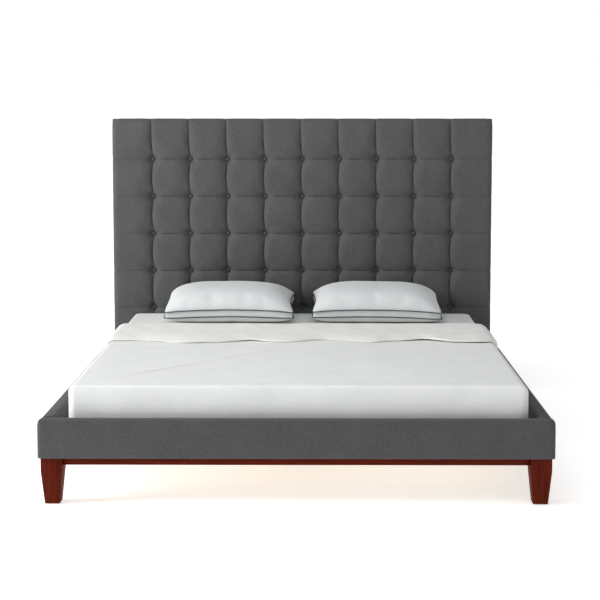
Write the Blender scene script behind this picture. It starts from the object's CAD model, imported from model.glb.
import math

import bmesh
import bpy
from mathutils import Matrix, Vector, noise


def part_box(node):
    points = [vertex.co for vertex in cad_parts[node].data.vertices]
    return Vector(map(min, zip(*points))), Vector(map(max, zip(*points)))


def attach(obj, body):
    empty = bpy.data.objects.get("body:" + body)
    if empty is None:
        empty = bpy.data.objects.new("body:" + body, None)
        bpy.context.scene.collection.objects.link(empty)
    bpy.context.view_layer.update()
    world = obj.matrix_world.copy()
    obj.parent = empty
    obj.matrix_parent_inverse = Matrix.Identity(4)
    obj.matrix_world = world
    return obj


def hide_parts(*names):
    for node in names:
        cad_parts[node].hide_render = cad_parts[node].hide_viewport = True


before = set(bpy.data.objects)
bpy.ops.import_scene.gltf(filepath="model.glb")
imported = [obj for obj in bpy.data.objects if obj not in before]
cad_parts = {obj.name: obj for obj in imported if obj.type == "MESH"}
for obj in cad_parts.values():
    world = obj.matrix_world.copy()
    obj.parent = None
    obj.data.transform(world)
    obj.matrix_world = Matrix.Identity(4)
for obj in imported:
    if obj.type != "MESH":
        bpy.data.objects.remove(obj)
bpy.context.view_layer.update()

# ---- Camera, light and floor ----
# The bed stands on a pale studio floor under a broad overhead softbox. The strongest light comes
# from the left, low across the headboard, and a weak one fills in from behind the camera.


def linear(colour):
    """An sRGB hex colour as linear RGBA."""
    parts = [int(colour[i:i + 2], 16) / 255 for i in (1, 3, 5)]
    return [c / 12.92 if c <= 0.04045 else ((c + 0.055) / 1.055) ** 2.4 for c in parts] + [1.0]


def add(tree, kind, inputs=None, **settings):
    """Adds a node. An input is a value, or (node, output name) for a link."""
    node = tree.nodes.new(kind)
    for key, value in settings.items():
        setattr(node, key, value)
    for key, value in (inputs or {}).items():
        if isinstance(value, tuple) and hasattr(value[0], "outputs"):
            tree.links.new(value[0].outputs[value[1]], node.inputs[key])
        else:
            node.inputs[key].default_value = value
    return node


scene = bpy.context.scene
scene.view_settings.view_transform = "Standard"

camera = bpy.data.objects.new("camera", bpy.data.cameras.new("camera"))
scene.collection.objects.link(camera)
camera.location = (0.090, -6.531, 1.626)
camera.rotation_euler = (math.radians(90 - 4.829), 0, math.radians(0.322))
camera.data.lens = 81.02
camera.data.shift_x = -0.0178
camera.data.shift_y = -0.13
camera.data.clip_end = 200
scene.camera = camera

world = bpy.data.worlds.new("studio")
world.use_nodes = True
scene.world = world
sky = world.node_tree
sky.nodes.clear()
room_light = add(sky, "ShaderNodeBackground", {"Color": linear("#f8f9fb"), "Strength": 0.32})
backdrop = add(sky, "ShaderNodeBackground", {"Color": linear("#ffffff"), "Strength": 1.0})
seen = add(sky, "ShaderNodeLightPath")
both = add(sky, "ShaderNodeMixShader", {"Fac": (seen, "Is Camera Ray")})
sky.links.new(room_light.outputs[0], both.inputs[1])
sky.links.new(backdrop.outputs[0], both.inputs[2])
add(sky, "ShaderNodeOutputWorld", {"Surface": (both, 0)})


def softbox(name, place, aim, size, watts):
    """A rectangular area light, turned to face a point."""
    light = bpy.data.lights.new(name, "AREA")
    light.shape = "RECTANGLE"
    light.size, light.size_y = size
    light.energy = watts
    lamp = bpy.data.objects.new(name, light)
    scene.collection.objects.link(lamp)
    lamp.location = place
    lamp.rotation_euler = (Vector(aim) - Vector(place)).to_track_quat("-Z", "Y").to_euler()


softbox("overhead_softbox", (-0.3, -1.6, 4.6), (0, -0.3, 0), (4.5, 4.0), 88)
softbox("left_softbox", (-6.0, -1.8, 2.4), (0, 0.6, 0.8), (2.0, 2.4), 345)
softbox("front_softbox", (-1.2, -7.6, 3.0), (0, 0, 0.5), (4.0, 2.6), 19)

FLOOR_HALF = 40
floor_mesh = bpy.data.meshes.new("floor")
floor_mesh.from_pydata(
    [(-FLOOR_HALF, -FLOOR_HALF, 0), (FLOOR_HALF, -FLOOR_HALF, 0),
     (FLOOR_HALF, FLOOR_HALF, 0), (-FLOOR_HALF, FLOOR_HALF, 0)], [], [(0, 1, 2, 3)])
studio_floor = bpy.data.objects.new("studio_floor", floor_mesh)
scene.collection.objects.link(studio_floor)
matt_white = bpy.data.materials.new("matt_white_paint")
matt_white.use_nodes = True
floor_tree = matt_white.node_tree
paint = floor_tree.nodes["Principled BSDF"]
paint.inputs["Base Color"].default_value = linear("#fbfbfb")
paint.inputs["Roughness"].default_value = 0.9
paint.inputs["Emission Color"].default_value = linear("#ffffff")
floor_place = add(floor_tree, "ShaderNodeTexCoord")
reach = add(floor_tree, "ShaderNodeVectorMath", {0: (floor_place, "Object")}, operation="LENGTH")
lit = add(floor_tree, "ShaderNodeMapRange", {"Value": (reach, "Value"), "From Min": 1.4,
                                             "From Max": 5.0, "To Min": 0.5, "To Max": 0.85})
floor_tree.links.new(lit.outputs[0], paint.inputs["Emission Strength"])
floor_mesh.materials.append(matt_white)

# ---- Headboard timber ----
# A plywood panel glued and screwed to a frame of planed pine: two stiles and three cross rails.
# It is never seen on the finished bed, because the cover wraps it and a cloth closes its back.


def material(name, roughness, **sockets):
    """A material with one Principled shader. What is constant is set on the shader itself."""
    made = bpy.data.materials.new(name)
    made.use_nodes = True
    shader = made.node_tree.nodes["Principled BSDF"]
    shader.inputs["Roughness"].default_value = roughness
    for key, value in sockets.items():
        shader.inputs[key.replace("_", " ")].default_value = value
    return made, made.node_tree, shader


def ramp(tree, factor, dark, pale, start=0.0, end=1.0):
    """A colour ramp from dark to pale, over part of a factor's range."""
    tone = add(tree, "ShaderNodeValToRGB", {"Fac": (factor, 0)})
    for stop, position, colour in zip(tone.color_ramp.elements, (start, end), (dark, pale)):
        stop.position = position
        stop.color = linear(colour)
    return tone


def dress(tree, shader, tone, other, socket="Normal"):
    """Links a tone to the shader's colour, and another node to its relief or its roughness."""
    tree.links.new(tone.outputs[0], shader.inputs["Base Color"])
    tree.links.new(other.outputs[0], shader.inputs[socket])


def texture(tree, kind, **inputs):
    """A texture laid out in the piece's own space."""
    place = add(tree, "ShaderNodeTexCoord")
    return add(tree, "ShaderNodeTex" + kind, {"Vector": (place, "Object"), **inputs})


def wear(made, *node_names):
    """Gives CAD nodes their finish."""
    for node_name in node_names:
        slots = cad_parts[node_name].data.materials
        slots.clear()
        slots.append(made)


def wood(name, dark, pale, along, grain_mm, roughness, bump=0.15, **sockets):
    """Sawn wood: long streaks of darker late wood along one axis, with finer pores between them."""
    made, tree, shader = material(name, roughness, **sockets)
    stretch = [1000 / grain_mm] * 3
    stretch["XYZ".index(along)] *= 0.04
    place = add(tree, "ShaderNodeTexCoord")
    streaks = add(tree, "ShaderNodeMapping", {"Vector": (place, "Object"), "Scale": stretch})
    rings = add(tree, "ShaderNodeTexNoise", {"Vector": (streaks, 0), "Scale": 1.0, "Detail": 5.0,
                                             "Distortion": 0.6})
    pores = add(tree, "ShaderNodeTexNoise", {"Vector": (streaks, 0), "Scale": 5.0, "Detail": 2.0})
    blend = add(tree, "ShaderNodeMix", {"Factor": 0.3, "A": (rings, 0), "B": (pores, 0)})
    relief = add(tree, "ShaderNodeBump", {"Height": (blend, 0), "Strength": bump,
                                          "Distance": 0.0006})
    dress(tree, shader, ramp(tree, blend, dark, pale, 0.36, 0.66), relief)
    return made


GRAINS = (("upright", "Z"), ("across", "X"), ("lengthwise", "Y"))
# Poplar plywood: pale, rotary cut, so its figure is broad and low in contrast.
poplar_ply = wood("poplar_plywood_sanded", "#c4a678", "#dcc397", "Z", 60, 0.7)
# Pine, planed and left bare: honey streaks and a dull surface.
pine_upright, pine_across, pine_lengthwise = (
    wood("pine_planed_" + run, "#c39a62", "#e3c892", axis, 14, 0.62) for run, axis in GRAINS)
wear(poplar_ply, "headboard_panel")
wear(pine_upright, "headboard_stile_left", "headboard_stile_right")
wear(pine_across, "headboard_top_rail", "headboard_middle_rail", "headboard_bottom_rail")

# ---- Headboard foam and cover ----
# A thick slab of foam under a woven cover, pulled down at every button. The slack between the
# buttons is laid in pleats: deep upright ones folded to the left, and shallow level ones.

COVER_T = 0.0015


def solid(name, shape, made, body, smooth=True):
    """A mesh piece riding on a body, with doubled points merged and its faces turned outward."""
    points, faces = shape
    mesh = bpy.data.meshes.new(name)
    mesh.from_pydata([tuple(p) for p in points], [], faces)
    tidy = bmesh.new()
    tidy.from_mesh(mesh)
    bmesh.ops.remove_doubles(tidy, verts=tidy.verts, dist=1e-6)
    bmesh.ops.recalc_face_normals(tidy, faces=tidy.faces)
    tidy.to_mesh(mesh)
    tidy.free()
    for face in mesh.polygons:
        face.use_smooth = smooth
    mesh.materials.append(made)
    piece = bpy.data.objects.new(name, mesh)
    scene.collection.objects.link(piece)
    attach(piece, body)
    return piece


def settle(piece):
    """Makes the result of a piece's modifiers its own mesh."""
    bpy.context.view_layer.update()
    shown = piece.evaluated_get(bpy.context.evaluated_depsgraph_get())
    mesh = bpy.data.meshes.new_from_object(shown)
    piece.modifiers.clear()
    piece.data = mesh
    return piece


def thicken(piece, thickness):
    """Turns a skin into cloth of that thickness, grown inward."""
    shell = piece.modifiers.new("thickness", "SOLIDIFY")
    shell.thickness = thickness
    shell.offset = -1
    return settle(piece)


def smoothstep(t):
    """A smooth rise from 0 to 1, as t goes from 0 to 1."""
    t = min(max(t, 0.0), 1.0)
    return t * t * (3 - 2 * t)


def nearest(value, stops):
    """The stop that lies nearest to a value."""
    return min(stops, key=lambda stop: abs(stop - value))


def ripple(x, y, z, size):
    """Soft unevenness between -1 and 1 that repeats over about that size."""
    return noise.noise(Vector((x, y, z)) / size)


def woven_cloth(name, dark, pale, thread_mm, roughness, bump, **sockets):
    """Plain weave: ribs both ways across each face, about six threads apart, in yarns of slightly
    mixed tone."""
    made, tree, shader = material(name, roughness, **sockets)
    ribs = None
    for axis in "XYZ":
        wave = texture(tree, "Wave", Scale=1000 / thread_mm / (2 * math.pi) / 3.2)
        wave.bands_direction = axis
        if ribs:
            wave = add(tree, "ShaderNodeMath", {0: (ribs, 0), 1: (wave, "Fac")}, operation="ADD")
        ribs = wave
    yarn = texture(tree, "Noise", Scale=260 / thread_mm, Detail=3.0)
    cloud = texture(tree, "Noise", Scale=7.0, Detail=2.0)
    mixed = add(tree, "ShaderNodeMix", {"Factor": 0.35, "A": (yarn, 0), "B": (cloud, 0)})
    relief = add(tree, "ShaderNodeBump", {"Height": (ribs, 0), "Strength": bump,
                                          "Distance": thread_mm / 1000 * 0.25})
    dress(tree, shader, ramp(tree, mixed, dark, pale, 0.34, 0.66), relief)
    return made


def celled(name, dark, pale, cell_mm, roughness, bump, depth_mm, randomness=1.0):
    """A surface of small cells side by side, darker and deeper in the middle of each."""
    made, tree, shader = material(name, roughness)
    cells = texture(tree, "Voronoi", Scale=1000 / cell_mm, Randomness=randomness)
    relief = add(tree, "ShaderNodeBump", {"Height": (cells, 0), "Strength": bump,
                                          "Distance": depth_mm / 1000})
    dress(tree, shader, ramp(tree, cells, dark, pale), relief)
    return made


# Polyester upholstery in a plain weave of mixed grey yarns: dull, with a faint bloom at the edges.
# Its threads are 0.7 mm apart. They are drawn 2.4 mm apart, in ribs of six, so that they show.
charcoal_weave = woven_cloth("polyester_weave_charcoal", "#49494b", "#535354", 2.4, 0.95, 0.30,
                             Specular_IOR_Level=0.2, Sheen_Weight=0.06, Sheen_Roughness=0.5)
# Cut polyether foam: pale yellow with small open cells.
cut_foam = celled("polyether_foam_cut", "#d9c98f", "#f2e7be", 2.0, 0.95, 0.4, 1.0)

head_low, head_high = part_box("headboard_cover")
panel_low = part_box("headboard_panel")[0]
button_low, button_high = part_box("tufting_buttons")
BUTTON_R = 0.011
BUTTON_COLUMNS, BUTTON_ROWS = 9, 5
first_x = button_low.x + BUTTON_R
first_z = button_low.z + BUTTON_R
pitch = (button_high.x - BUTTON_R - first_x) / (BUTTON_COLUMNS - 1)
columns = [first_x + i * pitch for i in range(BUTTON_COLUMNS)]
rows = [first_z + i * pitch for i in range(BUTTON_ROWS)]
seat_depth = button_high.y - head_low.y

UPRIGHT_DEPTH, LEVEL_DEPTH = 0.026, 0.013
# How far a pleat's flanks reach: left and right of an upright one, below and above a level one.
UPRIGHT_REACH, LEVEL_REACH = (0.066, 0.034), (0.026, 0.036)
FOLD_LEAN = 0.008
DIMPLE_DEPTH, POCKET_W = 0.026, 0.022
# Upright pleats are shallower near the top and bottom edges, and level ones past the end columns.
TOP_FADE, BOTTOM_FADE, SIDE_FADE = 0.16, 0.2, 0.15
EDGE_R = 0.022


def flank(distance, reach):
    """How far down the side of a pleat a point is: 1 at the fold, 0 where the cushion is full."""
    t = 1 - min(distance / reach, 1)
    return 1 - math.sqrt(1 - t * t)


def tuft_depth(x, z):
    """Depth of the cover's face behind its fullest plane."""
    near_x, near_z = nearest(x, columns), nearest(z, rows)
    upright = flank(abs(x - near_x), UPRIGHT_REACH[x > near_x])
    level = flank(abs(z - near_z), LEVEL_REACH[z > near_z])
    upright *= UPRIGHT_DEPTH * (0.45 + 0.55 * smoothstep((head_high.z - z) / TOP_FADE))
    if z < rows[0]:
        upright *= 1 - 0.45 * smoothstep((rows[0] - z) / BOTTOM_FADE)
    beside = max(abs(x) - columns[-1], 0)
    level *= LEVEL_DEPTH * (1 - 0.62 * smoothstep(beside / SIDE_FADE))
    pleat = math.hypot(upright, level)
    away = math.hypot(x - near_x, z - near_z)
    upper_left = max((near_x - x + z - near_z) / (1.414 * away + 1e-9), 0) ** 2
    reach = 0.062 + 0.050 * upper_left
    pocket = (seat_depth - DIMPLE_DEPTH) * (1 - smoothstep((away - BUTTON_R) / POCKET_W))
    slope = max(1 - away / reach, 0) / max(1 - BUTTON_R / reach, 0.1)
    pocket = min(pocket + DIMPLE_DEPTH * slope ** 1.4, seat_depth)
    fuller = 0.0022 * ripple(x, 0, z, 0.16) + 0.0006 * ripple(x, 3, z, 0.035)
    total = (pleat ** 3 + pocket ** 3) ** (1 / 3)
    return total + fuller * (1 - min(total / 0.02, 1))


def packed(stops, count):
    """Points along a line, crowded at each stop. The two ends are not crowded."""
    out = []
    for i, (a, b) in enumerate(zip(stops, stops[1:])):
        for k in range(count):
            t = k / count
            if i == 0:
                t = math.sin(t * math.pi / 2) ** 0.9 if t else 0
            elif i == len(stops) - 2:
                t = 1 - math.cos(t * math.pi / 2)
            else:
                t -= 0.86 * math.sin(2 * math.pi * t) / (2 * math.pi)
            out.append(a + (b - a) * t)
    return out + [stops[-1]]


PLEAT_STEPS = 16
HAIR = 0.0001
RIM_FADE, RIM_NOTCH, RIM_SWELL = 0.085, 0.30, 0.003


def tufted_body(inset, back_y, return_w):
    """The headboard's tufted face, its rounded edge and its sides, run back to a plane. A return
    turns it in over the back by that width, and a width of 0 closes the back."""
    x_half = head_high.x - inset - EDGE_R
    z_low = head_low.z + inset + EDGE_R * 0.5
    z_high = head_high.z - inset - EDGE_R
    xs = packed([-x_half] + columns + [x_half], PLEAT_STEPS)
    zs = packed([z_low] + rows + [z_high], PLEAT_STEPS)
    points, faces = [], []
    for z in zs:
        lean = FOLD_LEAN * smoothstep(abs(z - nearest(z, rows)) / (pitch / 2))
        lean *= 1 if z > rows[0] else 0.4
        for x in xs:
            shift = lean * max(1 - abs(x - nearest(x, columns)) / (pitch / 2), 0)
            points.append(Vector((x - shift, head_low.y + inset + tuft_depth(x, z), z)))
    wide = len(xs)
    for j in range(len(zs) - 1):
        for i in range(wide - 1):
            a = j * wide + i
            faces.append((a, a + 1, a + wide + 1, a + wide))
    last = (len(zs) - 1) * wide
    rim = list(range(wide)) + [j * wide + wide - 1 for j in range(1, len(zs))]
    rim += [last + i for i in range(wide - 2, -1, -1)]
    rim += [j * wide for j in range(len(zs) - 2, 0, -1)]
    outward = []
    for index in rim:
        j, i = divmod(index, wide)
        out_x = (i == wide - 1) - (i == 0)
        out_z = (j == len(zs) - 1) - (j == 0) * 0.5
        outward.append(Vector((out_x, 0, out_z)))
    lines = [(EDGE_R * math.sin(math.radians(a)), EDGE_R * (1 - math.cos(math.radians(a))))
             for a in (20, 40, 58, 75, 90)]
    deep = back_y - head_low.y - inset
    lines += [(EDGE_R, EDGE_R + (deep - EDGE_R) * t) for t in (0.25, 0.6, 0.96, 1.0)]
    if return_w:
        lines += [(EDGE_R - 0.003, deep + HAIR), (EDGE_R - return_w, deep + HAIR)]
    previous = rim
    for out, back in lines:
        ring = []
        fade = max(1 - back / RIM_FADE, 0)
        turned = smoothstep(back / EDGE_R)
        for index, way in zip(rim, outward):
            start = points[index]
            sunk = start.y - head_low.y - inset
            pull = fade * turned * (RIM_SWELL - RIM_NOTCH * sunk)
            y = head_low.y + inset + back + max(sunk * (1 - smoothstep(back / (EDGE_R * 1.6))), 0)
            corner = 1 - 0.16 * fade * (way.x != 0 and way.z != 0)
            ring.append(len(points))
            points.append(Vector((start.x, min(y, back_y + HAIR), start.z))
                          + way * ((out + pull) * corner))
        for k in range(len(rim)):
            n = (k + 1) % len(rim)
            faces.append((previous[n], previous[k], ring[k], ring[n]))
        previous = ring
    if not return_w:
        faces.append(tuple(previous))
    return points, faces


headboard_foam = solid("headboard_foam_slab", tufted_body(COVER_T + 0.0025, panel_low.y, 0),
                       cut_foam, "frame")
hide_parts("headboard_foam")

RETURN_W = 0.040
headboard_cover = solid("headboard_tufted_cover", tufted_body(0, head_high.y, RETURN_W),
                        charcoal_weave, "frame")
thicken(headboard_cover, COVER_T)
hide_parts("headboard_cover")

# ---- Buttons and their twine ----
# Moulded shells covered in the headboard's own cloth, which is gathered under their rims. Waxed
# twine from each runs through the foam and the panel, where a wire staple holds it.


def skin(rings, looped=True, capped=True):
    """Points and faces of the surface through a run of rings."""
    wide = len(rings[0])
    points = [p for ring in rings for p in ring]
    faces = []
    for j in range(len(rings) - 1):
        for i in range(wide if looped else wide - 1):
            n = (i + 1) % wide
            faces.append((j * wide + i, j * wide + n, (j + 1) * wide + n, (j + 1) * wide + i))
    if capped:
        faces.append(tuple(range(wide)))
        faces.append(tuple(range((len(rings) - 1) * wide, len(rings) * wide)))
    return points, faces


def gathered(shapes):
    """Several shapes as one."""
    points, faces = [], []
    for more, their_faces in shapes:
        faces += [tuple(len(points) + i for i in face) for face in their_faces]
        points += more
    return points, faces


BUTTON_H = button_high.y - button_low.y
BUTTON_SIDES = 24


def button(x, z):
    """A domed shell, with the cloth gathered under its rim."""
    rings = []
    for out, rise in ((0.80, 0.0), (0.97, 0.06), (1.0, 0.24), (0.96, 0.44), (0.82, 0.68),
                      (0.60, 0.86), (0.34, 0.97), (0.10, 1.0)):
        ring = []
        for k in range(BUTTON_SIDES):
            turn = 2 * math.pi * k / BUTTON_SIDES
            gather = 1 - 0.05 * (k % 2) * (out > 0.9)
            ring.append(Vector((x + BUTTON_R * out * gather * math.cos(turn),
                                button_high.y - BUTTON_H * rise,
                                z + BUTTON_R * out * gather * math.sin(turn))))
        rings.append(ring)
    return skin(rings)


buttons = solid("headboard_covered_buttons", gathered(button(x, z) for z in rows for x in columns),
                charcoal_weave, "frame")
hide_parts("tufting_buttons")


def moulded(name, dark, pale, roughness, grain_mm, **sockets):
    """Moulded, cast or painted: an even colour with a slight mottle and a fine orange peel."""
    made, tree, shader = material(name, roughness, **sockets)
    grain = texture(tree, "Noise", Scale=1000 / grain_mm, Detail=2.0)
    mottle = texture(tree, "Noise", Scale=40.0)
    relief = add(tree, "ShaderNodeBump", {"Height": (grain, 0), "Strength": 0.12,
                                          "Distance": 0.0004})
    dress(tree, shader, ramp(tree, mottle, dark, pale, 0.35, 0.65), relief)
    return made


# Waxed polyester twine: cream, with a soft shine from the wax.
wear(moulded("waxed_polyester_twine", "#b9ad90", "#d8cdb2", 0.5, 1.5), "button_twines")

# Zinc-plated steel: blue-grey, with faint patches from the plating bath.
zinc, zinc_tree, zinc_shader = material("zinc_plated_steel", 0.35, Metallic=1.0)
spangle = texture(zinc_tree, "Voronoi", Scale=160.0)
zinc_gloss = add(zinc_tree, "ShaderNodeMapRange", {"Value": (spangle, 0), "To Min": 0.28,
                                                   "To Max": 0.46})
dress(zinc_tree, zinc_shader, ramp(zinc_tree, spangle, "#9fa5a9", "#c6cacb"), zinc_gloss,
      "Roughness")
wear(zinc, "twine_staples")

# ---- Dust cloth on the headboard's back ----
# Black spun-bonded cloth with its edges turned under, stapled to the timber every 90 mm, over the
# cover's own edge. It is drawn tight, and dips a little between staples.

dust_low, dust_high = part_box("headboard_back_cloth")
STAPLE_STEP = 0.09
HEM_W, HEM_T = 0.014, 0.0009
DUST_T = 0.0007
PUCKER_W, SAG_W = 0.05, 0.12

# Spun-bonded polypropylene: a dull black felt, with a dimple pressed in every 2 mm, drawn at 6 mm.
spun_bond = celled("spun_bonded_cloth_black", "#131314", "#232325", 6.25, 0.88, 0.3, 0.8, 0.1)

dust_rings = []
DUST_ACROSS, DUST_UP = 140, 90
for j in range(DUST_UP + 1):
    z = dust_low.z + (dust_high.z - dust_low.z) * j / DUST_UP
    ring = []
    for i in range(DUST_ACROSS + 1):
        x = dust_low.x + (dust_high.x - dust_low.x) * i / DUST_ACROSS
        side_gap = min(x - dust_low.x, dust_high.x - x)
        level_gap = min(z - dust_low.z, dust_high.z - z)
        edge = min(side_gap, level_gap)
        along = z if side_gap < level_gap else x
        pull = abs(math.sin(math.pi * along / STAPLE_STEP)) * math.exp(-edge / PUCKER_W)
        loose = smoothstep(edge / SAG_W)
        y = dust_high.y + 0.0006 * pull + loose * (0.0012 * ripple(x, 9, z, 0.45) - 0.0014)
        y += HEM_T * (edge < HEM_W)
        ring.append(Vector((x, y, z)))
    dust_rings.append(ring)
dust_cloth = solid("headboard_dust_cloth", skin(dust_rings, looped=False, capped=False), spun_bond,
                   "frame")
thicken(dust_cloth, DUST_T)
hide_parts("headboard_back_cloth")

STAPLE_W, WIRE = 0.011, 0.0006


def staple(x, z, upright):
    """A wire staple's crown, on the cloth."""
    reach_x, reach_z = (WIRE, STAPLE_W / 2) if upright else (STAPLE_W / 2, WIRE)
    return skin([[Vector((x + a * reach_x * part, dust_high.y + rise, z + b * reach_z * part))
                  for a, b in ((-1, -1), (1, -1), (1, 1), (-1, 1))]
                 for rise, part in ((0.0002, 1.0), (0.0018, 1.0), (0.0024, 0.8))])


dust_w, dust_h = dust_high.x - dust_low.x, dust_high.z - dust_low.z
crowns = []
for k in range(1, int(dust_w / STAPLE_STEP)):
    for z in (dust_low.z + HEM_W / 2, dust_high.z - HEM_W / 2):
        crowns.append(staple(dust_low.x + k * STAPLE_STEP, z, False))
for k in range(1, int(dust_h / STAPLE_STEP)):
    for x in (dust_low.x + HEM_W / 2, dust_high.x - HEM_W / 2):
        crowns.append(staple(x, dust_low.z + k * STAPLE_STEP, True))
dust_staples = solid("dust_cloth_staples", gathered(crowns), zinc, "frame",
                     smooth=False)

# ---- Rails ----
# Pine boards with foam glued over their outer faces and tops, wrapped in the headboard's cloth.
# The foot rail's cloth is folded over its ends, and the side rails butt against it.

foot_low, foot_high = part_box("foot_rail_cover")
RAIL_T, RAIL_H = foot_high.y - foot_low.y, foot_high.z - foot_low.z
RAIL_FOAM_IN = COVER_T + 0.0004
RAIL_CROWN = 0.0018
RAIL_WAVE, RAIL_WAVE_RUN = 0.0007, 0.11
FOOT_RAIL_STEPS, SIDE_RAIL_STEPS = 90, 70


def rail_outline(inset, crown=0.0):
    """A rail's section as (distance in from its outer face, height), round from its inner foot."""
    wide, tall = RAIL_T - 2 * inset, RAIL_H - 2 * inset
    outer, inner, foot = 0.026 - inset, 0.014 - inset * 0.5, max(0.007 - inset, 0.001)
    out = [(wide - foot * 0.4, 0), (foot, 0)]
    out += [(foot - foot * math.sin(a * math.pi / 8), foot - foot * math.cos(a * math.pi / 8))
            for a in range(1, 5)]
    out += [(-crown * math.sin(math.pi * t), foot + (tall - outer - foot) * t)
            for t in (0.1, 0.25, 0.4, 0.55, 0.7, 0.85)]
    out += [(outer - outer * math.cos(a * math.pi / 16),
             tall - outer + outer * math.sin(a * math.pi / 16)) for a in range(9)]
    out += [(wide - inner + inner * math.sin(a * math.pi / 10),
             tall - inner + inner * math.cos(a * math.pi / 10)) for a in range(6)]
    out += [(wide, (tall - inner) * t) for t in (0.75, 0.5, 0.25, 0.02)]
    return [(u + inset, w + inset) for u, w in out]


RAIL_END_R = 0.017
core_low, core_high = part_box("foot_rail_core")
core_in = core_low.y - foot_low.y
core_top = core_high.z - foot_low.z


def foam_outline():
    """The same section, cut away where the board is."""
    kept = [(u, w) for u, w in rail_outline(RAIL_FOAM_IN) if w > core_top or u < core_in - 0.002]
    return kept + [(RAIL_T - RAIL_FOAM_IN, core_top), (core_in, core_top), (core_in, RAIL_FOAM_IN)]


def foot_rail(inset, section):
    """The section run across the foot of the bed, drawn in over each end."""
    half = foot_high.x - inset
    straight = half - RAIL_END_R
    bend = [straight + RAIL_END_R * math.sin(a * math.pi / 12) for a in range(6, -1, -1)]
    stations = bend + [straight - straight * 2 * t / FOOT_RAIL_STEPS
                       for t in range(1, FOOT_RAIL_STEPS)]
    stations += [-x for x in reversed(bend)]
    rings = []
    for x in stations:
        into = max(abs(x) - straight, 0) / RAIL_END_R
        draw = RAIL_END_R * (1 - math.sqrt(max(1 - into * into, 0)))
        ring = []
        for u, w in section:
            drift = RAIL_WAVE * ripple(x, 2, w, RAIL_WAVE_RUN) * (inset == 0)
            off_middle = (u - RAIL_T / 2) * (1 - draw / (RAIL_T / 2))
            ring.append(Vector((x, foot_low.y + RAIL_T / 2 + off_middle - drift,
                                foot_low.z + w * (1 - draw / RAIL_H) + drift)))
        rings.append(ring)
    return skin(rings)


def side_rail(side, inset, section, over):
    """The section run along one side, from the foot rail to the headboard's face."""
    edge = foot_high.x * side
    start, end = foot_high.y - over, head_low.y + over
    rings = []
    for k in range(SIDE_RAIL_STEPS + 1):
        y = start + (end - start) * k / SIDE_RAIL_STEPS
        ring = []
        for u, w in section:
            drift = RAIL_WAVE * ripple(side, y, w, RAIL_WAVE_RUN) * (inset == 0)
            ring.append(Vector((edge - side * (u - drift), y, foot_low.z + w)))
        rings.append(ring)
    return skin(rings)


foot_foam = solid("foot_rail_foam_wrap", foot_rail(RAIL_FOAM_IN, foam_outline()), cut_foam, "frame")
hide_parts("foot_rail_foam")
foot_cover = solid("foot_rail_upholstery", foot_rail(0, rail_outline(0, RAIL_CROWN)),
                   charcoal_weave, "frame")
thicken(foot_cover, COVER_T)
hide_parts("foot_rail_cover")
for side, name in ((-1, "left_rail"), (1, "right_rail")):
    side_foam = solid(name + "_foam_wrap", side_rail(side, RAIL_FOAM_IN, foam_outline(), 0),
                      cut_foam, "frame")
    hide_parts(name + "_foam")
    side_cover = solid(name + "_upholstery", side_rail(side, 0, rail_outline(0, RAIL_CROWN), 0.002),
                       charcoal_weave, "frame")
    thicken(side_cover, COVER_T)
    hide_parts(name + "_cover")

wear(pine_across, "foot_rail_core")
wear(pine_lengthwise, "left_rail_core", "right_rail_core", "left_ledger", "right_ledger")

# ---- Legs, aprons and glides ----
# Tapered beech legs and a thin beech apron between them, stained to a cherry red and lacquered.
# Their arrises are eased. Each leg stands on a nylon glide driven into its foot.

# Stained beech under satin lacquer: deep red-brown, darker in the pores, with a soft sheen.
cherry_upright, cherry_across, cherry_lengthwise = (
    wood("beech_stained_cherry_" + run, "#480f05", "#622009", axis, 9, 0.6, 0.06,
         Specular_IOR_Level=0.06, Coat_Weight=0.02, Coat_Roughness=0.3) for run, axis in GRAINS)


def eased_square(centre, half, r, z):
    """A square ring with rounded corners, at one height."""
    ring = []
    for quarter in range(4):
        turn = math.pi / 2 * quarter
        cx = centre[0] + (half - r) * (1 if quarter in (0, 3) else -1)
        cy = centre[1] + (half - r) * (1 if quarter in (0, 1) else -1)
        ring += [Vector((cx + r * math.cos(turn + a * math.pi / 8),
                         cy + r * math.sin(turn + a * math.pi / 8), z)) for a in range(5)]
    return ring


LEG_FOOT_W, LEG_STRAIGHT = 0.062, 0.055
LEG_EASE = 0.003
for place in ("front_left", "front_right", "rear_left", "rear_right"):
    low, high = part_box("leg_" + place)
    centre = ((low.x + high.x) / 2, (low.y + high.y) / 2)
    top, foot = (high.x - low.x) / 2, LEG_FOOT_W / 2
    bend = high.z - LEG_STRAIGHT
    start = low.z + 0.002
    rings = [eased_square(centre, foot - 0.0015, 0.002, low.z),
             eased_square(centre, foot, LEG_EASE, low.z + 0.0015)]
    rings += [eased_square(centre, foot + (top - foot) * t, LEG_EASE, start + (bend - start) * t)
              for t in (0.25, 0.5, 0.75, 0.97)]
    rings += [eased_square(centre, top, LEG_EASE, z) for z in (bend + 0.002, bend + 0.03, high.z)]
    leg = solid(place + "_tapered_leg", skin(rings), cherry_upright, "frame")
    leg.data.set_sharp_from_angle(angle=math.radians(35))
    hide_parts("leg_" + place)

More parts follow.
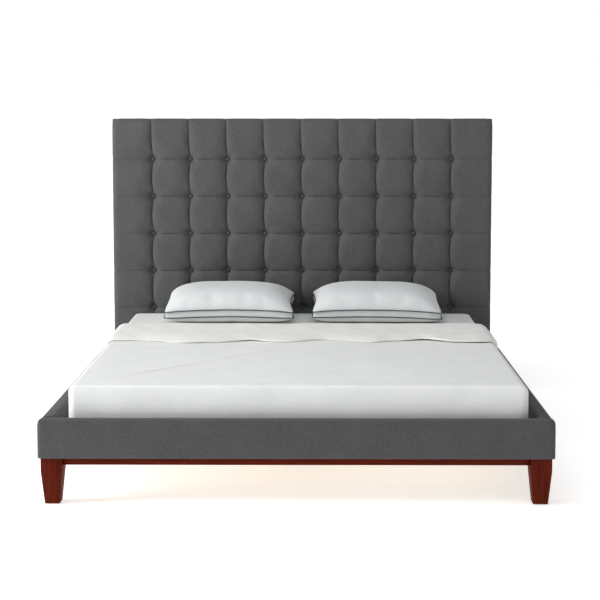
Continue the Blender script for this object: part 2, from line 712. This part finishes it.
APRON_R = 0.0025
for name, along, made in (("front_apron", 0, cherry_across), ("left_apron", 1, cherry_lengthwise),
                          ("right_apron", 1, cherry_lengthwise)):
    low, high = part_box(name)
    across = 1 - along
    middle = (low[across] + high[across]) / 2
    half = (high[across] - low[across]) / 2
    section = []
    for quarter, (u, w) in enumerate(((1, 1), (-1, 1), (-1, -1), (1, -1))):
        r = APRON_R if w < 0 else 0.0008
        cu = middle + u * (half - r)
        cz = (high.z if w > 0 else low.z) - w * r
        section += [(cu + r * math.cos(math.pi / 2 * quarter + a * math.pi / 8),
                     cz + r * math.sin(math.pi / 2 * quarter + a * math.pi / 8)) for a in range(5)]
    rings = []
    for k in range(41):
        run = low[along] + (high[along] - low[along]) * k / 40
        rings.append([Vector((run, u, z) if along == 0 else (u, run, z)) for u, z in section])
    apron = solid(name + "_board", skin(rings), made, "frame")
    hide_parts(name)

# Nylon: off-white, slightly waxy.
wear(moulded("nylon_glide_white", "#cfcec6", "#dddcd5", 0.45, 3, Subsurface_Weight=0.1),
     "leg_glides")

# ---- Steel fastenings ----
# Corner brackets and beam hangers pressed from sheet, with bolts and screws, all zinc plated.

wear(zinc, "corner_brackets", "bracket_bolts", "headboard_bolts", "leg_bolts", "beam_hangers",
     "frame_screws", "slat_screws")

# ---- Deck ----
# Twelve pine slats screwed to ledgers on the side rails, and a beam down the middle on two painted
# legs. Each of those legs has a foot that screws out to meet the floor.

wear(pine_across, *(f"slat_{k:02d}" for k in range(1, 13)))
wear(pine_lengthwise, "center_beam")
# Black enamel on square pine legs: almost black, with soft highlights.
wear(moulded("black_enamel_on_pine", "#121212", "#1c1b1b", 0.38, 6),
     "center_leg_front", "center_leg_rear")
# Moulded polypropylene: black, with a fine matt texture.
wear(moulded("polypropylene_moulded_black", "#17181a", "#202123", 0.55, 1.2),
     "leveller_front", "leveller_rear")

# ---- Mattress ----
# A sprung mattress in a fitted jersey sheet. Its panels crown a little, its edges are round, and
# the sheet wrinkles where its elastic corners pull.

mattress_low, mattress_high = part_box("mattress")


def white_cloth(name, dark, pale, thread_mm, crease_mm, crease_depth, roughness, **sockets):
    """White bed linen: threads, and soft creases that the light catches."""
    made, tree, shader = material(name, roughness, **sockets)
    threads = texture(tree, "Noise", Scale=1000 / thread_mm)
    creases = texture(tree, "Noise", Scale=1000 / crease_mm, Detail=3.0, Distortion=0.8)
    weave = add(tree, "ShaderNodeBump", {"Height": (threads, 0), "Strength": 0.25,
                                         "Distance": thread_mm / 1000 * 0.3})
    relief = add(tree, "ShaderNodeBump", {"Height": (creases, 0), "Strength": 0.35,
                                          "Distance": crease_depth / 1000, "Normal": (weave, 0)})
    dress(tree, shader, ramp(tree, creases, dark, pale, 0.3, 0.7), relief)
    return made


# Cotton jersey: white and matt, knitted finely enough that only a soft mottle shows.
cotton_jersey = white_cloth("cotton_jersey_knitted", "#dcdddb", "#e4e5e3", 1.6, 60, 2.0, 0.9,
                            Sheen_Weight=0.1)

FOOT_CORNER_R, HEAD_CORNER_R = 0.060, 0.028
EDGE_ROUND = 0.020
SIDE_RUN, TOP_RINGS = 44, 44
TOP_INSET = 0.955
SHEET_WAVE, ELASTIC_PULL, SHEET_TUCK = 0.0016, 0.003, 0.002


def plan_ring(inset, z):
    """A ring of the mattress's plan at one height, drawn in by an inset. The first point is at the
    head end of the left side, and the ring runs round by the foot."""
    across = (mattress_high.x - mattress_low.x) / 2 - inset
    foot, head = mattress_low.y + inset, mattress_high.y - inset
    r = min(max(FOOT_CORNER_R - inset * 0.6, 0.004), across, (head - foot) / 2)
    tight = min(r, max(HEAD_CORNER_R - inset * 0.3, 0.004))
    corners = [(-across + tight, head - tight, 1, tight), (-across + r, foot + r, 2, r),
               (across - r, foot + r, 3, r), (across - tight, head - tight, 0, tight)]
    ring = []
    for n, (cx, cy, quarter, round_r) in enumerate(corners):
        for a in range(9):
            turn = math.pi / 2 * (quarter + a / 8)
            ring.append(Vector((cx + round_r * math.cos(turn), cy + round_r * math.sin(turn), z)))
        nx, ny, nquarter, next_r = corners[(n + 1) % 4]
        turn = math.pi / 2 * nquarter
        end = Vector((nx + next_r * math.cos(turn), ny + next_r * math.sin(turn), z))
        ring += [ring[-1].lerp(end, k / SIDE_RUN) for k in range(1, SIDE_RUN)]
    return ring


round_edge = [(EDGE_ROUND * (1 - math.sin(turn)), EDGE_ROUND * (1 - math.cos(turn)))
              for turn in (math.pi / 12 * a for a in range(7))]
wall = mattress_high.z - mattress_low.z - 2 * EDGE_ROUND
rings = [plan_ring(inset, mattress_low.z + 0.0002) for inset in (0.80, 0.6, 0.4, 0.2, 0.08)]
rings += [plan_ring(inset, mattress_low.z + rise) for inset, rise in round_edge]
rings += [plan_ring(0.0, mattress_low.z + EDGE_ROUND + wall * k / 10) for k in range(1, 10)]
rings += [plan_ring(inset, mattress_high.z - rise) for inset, rise in reversed(round_edge)]
rings += [plan_ring(EDGE_ROUND + (TOP_INSET - EDGE_ROUND) * k / TOP_RINGS, mattress_high.z)
          for k in range(1, TOP_RINGS + 1)]
for ring in rings:
    for point in ring:
        side = smoothstep((mattress_high.z - point.z) / EDGE_ROUND)
        off_x, off_y = abs(point.x) - mattress_high.x, point.y - mattress_high.y
        corner = math.exp(-(off_x ** 2 + off_y ** 2) / 0.02)
        out = Vector((point.x, point.y - 0.1, 0)).normalized()
        wave = SHEET_WAVE * ripple(point.x, point.y, point.z * 3, 0.14)
        pull = ELASTIC_PULL * corner * math.sin(point.z * 160 + point.x * 30)
        point += out * (side * (wave + pull - SHEET_TUCK))
        if point.z > mattress_high.z - 0.004:
            point.z -= 0.0008 + 0.0008 * ripple(point.x, point.y, 1, 0.22)
fitted_mattress = solid("mattress_in_fitted_sheet", skin(rings), cotton_jersey, "mattress")
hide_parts("mattress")

# ---- Duvet ----
# A thin quilted cotton cover, laid smooth over the mattress. It is folded down round the two foot
# corners, and its hem hangs between the mattress and the rails.

duvet_low, duvet_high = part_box("duvet")
DUVET_T = 0.008
TOP_ROUND, FOOT_ROUND = 0.036, 0.013
DUVET_CORNER_R = 0.032
SLACK, SLACK_FROM, SLACK_OVER = 0.014, 0.78, 0.14
SIDE_STEPS, FOOT_STEPS, DROP_STEPS, TOP_STEPS = 56, 74, 12, 56
half_x = (duvet_high.x - duvet_low.x) / 2

# Cotton percale: cool white, smooth, with the faintest lustre.
percale = white_cloth("cotton_percale_pressed", "#e3e5e3", "#e9ebe9", 1.4, 140, 4.0, 0.82,
                      Sheen_Weight=0.12)


def open_ring(inset, z):
    """The same plan without its head end: down the left side, across the foot and up the right."""
    across = max(half_x - inset, 0.0)
    foot, head = duvet_low.y + inset, duvet_high.y
    r = min(max(DUVET_CORNER_R - inset * 0.5, 0.003), max(across, 0.001))
    left = [Vector((-across, head + (foot + r - head) * k / SIDE_STEPS, z))
            for k in range(SIDE_STEPS)]
    left += [Vector((-across + r - r * math.cos(turn), foot + r - r * math.sin(turn), z))
             for turn in (math.pi / 2 * a / 12 for a in range(13))]
    run = across - r
    base = [Vector((-run + 2 * run * k / FOOT_STEPS, foot, z)) for k in range(1, FOOT_STEPS)]
    return left + base + [Vector((-p.x, p.y, p.z)) for p in reversed(left)]


left_share = [1.0] * SIDE_STEPS + [math.cos(math.pi / 24 * a) ** 2 for a in range(13)]
side_share = left_share + [0.0] * (FOOT_STEPS - 1) + left_share[::-1]


def duvet_ring(profile):
    """A ring whose inset and height depend on the radius of the top edge, tight at the foot."""
    foot, side = (open_ring(*profile(r)) for r in (FOOT_ROUND, TOP_ROUND))
    return [a.lerp(b, share) for a, b, share in zip(foot, side, side_share)]


def slack(x):
    """The bedding hangs looser over the right side of the mattress."""
    return SLACK * smoothstep((x - SLACK_FROM) / SLACK_OVER)


drop_h = duvet_high.z - duvet_low.z
rings = [duvet_ring(lambda r: (0.0, duvet_low.z + (drop_h - r) * k / DROP_STEPS))
         for k in range(DROP_STEPS)]
rings += [duvet_ring(lambda r: (r * (1 - math.cos(turn)), duvet_high.z - r * (1 - math.sin(turn))))
          for turn in (math.pi / 16 * a for a in range(9))]
rings += [duvet_ring(lambda r: (r + (half_x - r) * k / TOP_STEPS, duvet_high.z))
          for k in range(1, TOP_STEPS + 1)]
for ring in rings:
    for point in ring:
        drop = duvet_high.z - point.z
        side = smoothstep(drop / 0.05)
        if side:
            at_foot = point.y < duvet_low.y + DUVET_CORNER_R
            on_side = abs(point.x) > half_x - 0.003
            out = Vector((point.x / half_x, 0, 0)) if on_side else Vector((0, -1, 0))
            if at_foot and abs(point.x) > half_x - DUVET_CORNER_R:
                out = Vector((math.copysign(1, point.x), -1, 0)).normalized()
            along = point.y * 1.3 + point.x
            hang = 0.0022 * ripple(along, 0, point.z * 0.4, 0.19)
            hang += 0.0010 * ripple(along, 4, 0, 0.06)
            from_fold = abs(point.x) - half_x + 0.02 + drop * 0.12
            fold = 0.002 * math.exp(-(from_fold / 0.012) ** 2) * at_foot
            point += out * side * (hang + fold)
        else:
            point.z += 0.0014 * ripple(point.x, point.y * 0.7, 5, 0.30) - 0.0006
        point.x += slack(point.x)
duvet = solid("duvet_cover", skin(rings, looped=False, capped=False), percale, "duvet")
thicken(duvet, DUVET_T - 0.0008)
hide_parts("duvet")

# ---- Turned-back top sheet ----
# A soft quilted sheet, turned back over the head of the duvet in a broad band. Its front is a loose
# rolled fold that wanders, and its ends fall over the sides of the mattress.

cuff_low, cuff_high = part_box("top_sheet")
# Brushed cotton: a warmer, duller white than the duvet, rumpled from turning back.
brushed_cotton = white_cloth("cotton_brushed", "#e4e4df", "#ebebe6", 1.8, 85, 4.0, 0.9,
                             Sheen_Weight=0.15)

CUFF_T = cuff_high.z - duvet_high.z - 0.002
SIDE_T = cuff_high.x - duvet_high.x
run_top = 2 * (duvet_high.x - TOP_ROUND)
arc = math.pi / 2 * TOP_ROUND
fall = duvet_high.z - TOP_ROUND - cuff_low.z
whole = run_top + 2 * arc + 2 * fall


def duvet_skin(s):
    """The point on the duvet a distance s along the band's underside, and the way it faces."""
    mirror = 1
    if s > whole / 2:
        s, mirror = whole - s, -1
    if s < fall:
        place, face = Vector((-duvet_high.x, 0, cuff_low.z + s)), Vector((-1, 0, 0))
    elif s < fall + arc:
        turn = (s - fall) / TOP_ROUND
        face = Vector((-math.cos(turn), 0, math.sin(turn)))
        place = Vector((-duvet_high.x + TOP_ROUND, 0, duvet_high.z - TOP_ROUND)) + face * TOP_ROUND
    else:
        place = Vector((-duvet_high.x + TOP_ROUND + s - fall - arc, 0, duvet_high.z))
        face = Vector((0, 0, 1))
    place.x *= mirror
    place.x += slack(place.x)
    face.x *= mirror
    return place, face


rings = []
CUFF_STATIONS = 300
FRONT_IN, BACK_IN = 0.060, 0.010
BROAD_WANDER, FINE_WANDER = 0.090, 0.034
CURL = 0.013
for k in range(CUFF_STATIONS + 1):
    s = whole * k / CUFF_STATIONS
    place, face = duvet_skin(s)
    end = min(s, whole - s)
    on_top = smoothstep((end - fall * 0.5) / (arc + 0.08))
    wander = BROAD_WANDER * ripple(s, 1, 0, 0.34) + FINE_WANDER * ripple(s, 2, 0, 0.13)
    front = cuff_low.y + FRONT_IN + wander * (0.4 + 0.6 * on_top)
    back = cuff_high.y - BACK_IN - 0.006 * ripple(s, 6, 0, 0.5)
    thick = SIDE_T + (CUFF_T - SIDE_T) * on_top
    thick *= (0.84 + 0.14 * ripple(s, 3, 0, 0.20)) * smoothstep((end + 0.010) / 0.030)
    nose = thick * (0.34 + 0.26 * ripple(s, 5, 0, 0.22))
    curl = CURL * max(ripple(s, 12, 0, 0.17), 0)
    ring = [(front + nose * 0.5 * (1 - math.sin(math.pi * a / 10)),
             curl + nose * 0.5 * (1 - math.cos(math.pi * a / 10))) for a in range(11)]
    for t, share in ((0.03, 0.12), (0.06, 0.32), (0.10, 0.56), (0.15, 0.77), (0.21, 0.92),
                     (0.28, 1.0)):
        rise = curl * (1 - share) + nose + (thick - nose) * share
        ring.append((front + (back - front) * t, rise))
    ring += [(front + (back - front) * (0.28 + 0.66 * n / 24), thick) for n in range(1, 25)]
    ring += [(front + (back - front) * t, thick * rise) for t, rise in
             ((0.96, 0.90), (0.975, 0.72), (0.99, 0.50), (1.0, 0.28), (0.998, 0.10), (0.985, 0.0))]
    ring += [(front + (back - front) * t, 0.0) for t in (0.8, 0.6, 0.4, 0.2, 0.08)]
    here = []
    for y, rise in ring:
        full = rise / thick
        deep_in = (y - cuff_low.y) / (cuff_high.y - cuff_low.y)
        skew = s + 0.5 * y
        crease = 0.0030 * ripple(skew, y * 0.35, 7, 0.09) + 0.0036 * ripple(s, y, 8, 0.25)
        crease += 0.0022 * math.exp(-((deep_in - 0.2) / 0.16) ** 2) * ripple(s, 0, 9, 0.07)
        here.append(place + Vector((0, y, 0)) + face * (rise + crease * full ** 2))
    rings.append(here)
turned_sheet = solid("top_sheet_turned_back", skin(rings), brushed_cotton, "duvet")
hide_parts("top_sheet")

# ---- Pillows ----
# Down-filled box pillows: a top and a bottom panel joined by a narrow gusset, with a charcoal cord
# sewn into both seams. Air pressure in a cloth simulation fills them out from a slimmer shape.

PILLOW_W, PILLOW_D = 0.718, 0.420
GUSSET_H = 0.038
TOP_RISE, BASE_RISE = 0.091, 0.082
LEAN = math.radians(8)
LIE_X, LIE_Z = 0.009, 0.074
FILL_CAP = 0.014
PRESS = 0.02
PANEL_X, PANEL_Y, GUSSET_ROWS = 44, 28, 3
CORD_R, CORD_OUT = 0.0028, 0.0012
CORNER_CUT, GUSSET_DIP = 0.010, 0.012
FRONT_ARCH, PANEL_SAG = 0.011, 0.003

# Cotton sateen: cool white with a soft, broad sheen.
sateen = white_cloth("cotton_sateen_pressed", "#d0d3d3", "#d6d9d9", 1.2, 160, 1.5, 0.72,
                     Sheen_Weight=0.2)
# Charcoal cotton bias tape over cord: dark blue-grey and matt, with its wrap just showing.
bias_tape = woven_cloth("cotton_bias_tape_charcoal", "#3a4046", "#4c535a", 1.6, 0.85, 0.2)


def pillow_plan(a, b, pinch):
    """Where a panel's point lies, looking down: the sides pull in between the corners."""
    x = a * PILLOW_W / 2 * (1 - pinch * (1 - b * b) * abs(a) ** 5)
    y = b * PILLOW_D / 2 * (1 - 0.035 * (1 - a * a) * abs(b) ** 5)
    round_off = CORNER_CUT * (abs(a) * abs(b)) ** 12
    return x - math.copysign(round_off, a), y - math.copysign(round_off, b)


def stuffed_pillow(name, centre, seed, pinch_left, pinch_right, tilt):
    """A pillow and its two seam cords, placed and leaned against the headboard."""
    border = [(i, 0) for i in range(PANEL_X)] + [(PANEL_X, j) for j in range(PANEL_Y)]
    border += [(i, PANEL_Y) for i in range(PANEL_X, 0, -1)]
    border += [(0, j) for j in range(PANEL_Y, 0, -1)]
    points, faces, at = [], [], {}
    for level in (1, -1):
        for j in range(PANEL_Y + 1):
            for i in range(PANEL_X + 1):
                a, b = 2 * i / PANEL_X - 1, 2 * j / PANEL_Y - 1
                a = math.sin(a * math.pi / 2) * 0.35 + a * 0.65
                b = math.sin(b * math.pi / 2) * 0.3 + b * 0.7
                x, y = pillow_plan(a, b, pinch_left if a < 0 else pinch_right)
                full = ((1 - abs(a) ** 3.4) ** 0.62) * ((1 - abs(b) ** 2.6) ** 0.66)
                arch = FRONT_ARCH * (1 - a * a) * (b < 0) * b * b
                sag = PANEL_SAG * ripple(x + seed, y, level, 0.16)
                rise = TOP_RISE if level > 0 else BASE_RISE
                z = level * (GUSSET_H / 2 + (rise + sag) * full) + arch - tilt * x
                at[level, i, j] = len(points)
                points.append(Vector((x, y, z)))
        for j in range(PANEL_Y):
            for i in range(PANEL_X):
                quad = [at[level, i, j], at[level, i + 1, j], at[level, i + 1, j + 1],
                        at[level, i, j + 1]]
                faces.append(quad if level > 0 else quad[::-1])
    rows_here = [[at[1, i, j] for i, j in border]]
    for r in range(1, GUSSET_ROWS):
        t = r / GUSSET_ROWS
        row = []
        for (i, j), top in zip(border, rows_here[0]):
            bottom = at[-1, i, j]
            spot = points[top].lerp(points[bottom], t)
            inward = Vector((-spot.x / PILLOW_W, -spot.y / PILLOW_D, 0))
            inward *= GUSSET_DIP * math.sin(math.pi * t)
            row.append(len(points))
            points.append(spot + inward)
        rows_here.append(row)
    rows_here.append([at[-1, i, j] for i, j in border])
    for upper, lower in zip(rows_here, rows_here[1:]):
        for k in range(len(border)):
            n = (k + 1) % len(border)
            faces.append((upper[k], lower[k], lower[n], upper[n]))
    start = [p.copy() for p in points]
    mesh = bpy.data.meshes.new(name)
    mesh.from_pydata([tuple(p) for p in points], [], faces)
    pillow = bpy.data.objects.new(name + "_stuffed", mesh)
    scene.collection.objects.link(pillow)
    seams = pillow.vertex_groups.new(name="seams")
    seams.add(rows_here[0] + rows_here[-1], 1.0, "REPLACE")
    cloth = pillow.modifiers.new("filling", "CLOTH")
    cloth.settings.quality = 6
    cloth.settings.mass = 0.25
    cloth.settings.tension_stiffness = 18
    cloth.settings.compression_stiffness = 12
    cloth.settings.shear_stiffness = 6
    cloth.settings.bending_stiffness = 0.15
    cloth.settings.use_pressure = True
    cloth.settings.uniform_pressure_force = 4.0
    cloth.settings.effector_weights.gravity = 0
    cloth.settings.vertex_group_shrink = "seams"
    cloth.settings.shrink_max = 0.05
    cloth.collision_settings.use_collision = False
    cloth.point_cache.frame_end = 20
    for frame_number in range(1, 21):
        scene.frame_set(frame_number)
    shown = pillow.evaluated_get(bpy.context.evaluated_depsgraph_get())
    filled = [v.co.copy() for v in shown.to_mesh().vertices]
    shown.to_mesh_clear()
    pillow.modifiers.clear()
    pillow.vertex_groups.clear()
    scene.frame_set(1)
    drift = sum((f - s for f, s in zip(filled, start)), Vector()) / len(start)
    for vertex, f, s in zip(mesh.vertices, filled, start):
        move = f - s - drift
        vertex.co = s + move * FILL_CAP / (FILL_CAP + move.length)
    lie = Vector(centre)
    for vertex in mesh.vertices:
        x, y, z = vertex.co
        y, z = y * math.cos(LEAN) - z * math.sin(LEAN), y * math.sin(LEAN) + z * math.cos(LEAN)
        spot = Vector((x, y, z)) + lie
        rest_z = mattress_high.z + 0.0008
        if spot.z < rest_z + PRESS:
            spot.z = rest_z + PRESS * math.exp((spot.z - rest_z) / PRESS - 1)
        vertex.co = spot
    loops = [[mesh.vertices[i].co.copy() for i in row] for row in (rows_here[0], rows_here[-1])]
    for face in mesh.polygons:
        face.use_smooth = True
    mesh.materials.append(sateen)
    smooth = pillow.modifiers.new("smooth", "SUBSURF")
    smooth.levels = smooth.render_levels = 1
    settle(pillow)
    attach(pillow, name)
    cords = []
    for loop in loops:
        count = len(loop)
        middle = sum(loop, Vector()) / count
        fine = []
        for k in range(count):
            before, here, after, later = (loop[(k + d) % count] for d in (-1, 0, 1, 2))
            for t in (0.0, 0.5):
                fine.append(0.5 * ((2 * here) + (after - before) * t
                                   + (2 * before - 5 * here + 4 * after - later) * t * t
                                   + (3 * here - before - 3 * after + later) * t ** 3))
        rings = []
        for k, spot in enumerate(fine):
            ahead = (fine[(k + 1) % len(fine)] - fine[k - 1]).normalized()
            out = spot - middle
            out = (out - ahead * out.dot(ahead)).normalized()
            up = ahead.cross(out)
            rings.append([spot + out * (CORD_OUT + CORD_R * math.cos(a * math.pi / 5)) +
                          up * CORD_R * math.sin(a * math.pi / 5) for a in range(10)])
        cords.append(skin(rings + rings[:1], capped=False))
    solid(name + "_seam_cords", gathered(cords), bias_tape, name)
    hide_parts(name)


for name, seed, shape in (("pillow_left", 3, (0.02, 0.075, 0.0)),
                          ("pillow_right", 11, (0.06, 0.03, 0.012))):
    low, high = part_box(name)
    middle = ((low.x + high.x) / 2 + LIE_X, (low.y + high.y) / 2, mattress_high.z + LIE_Z)
    stuffed_pillow(name, middle, seed, *shape)
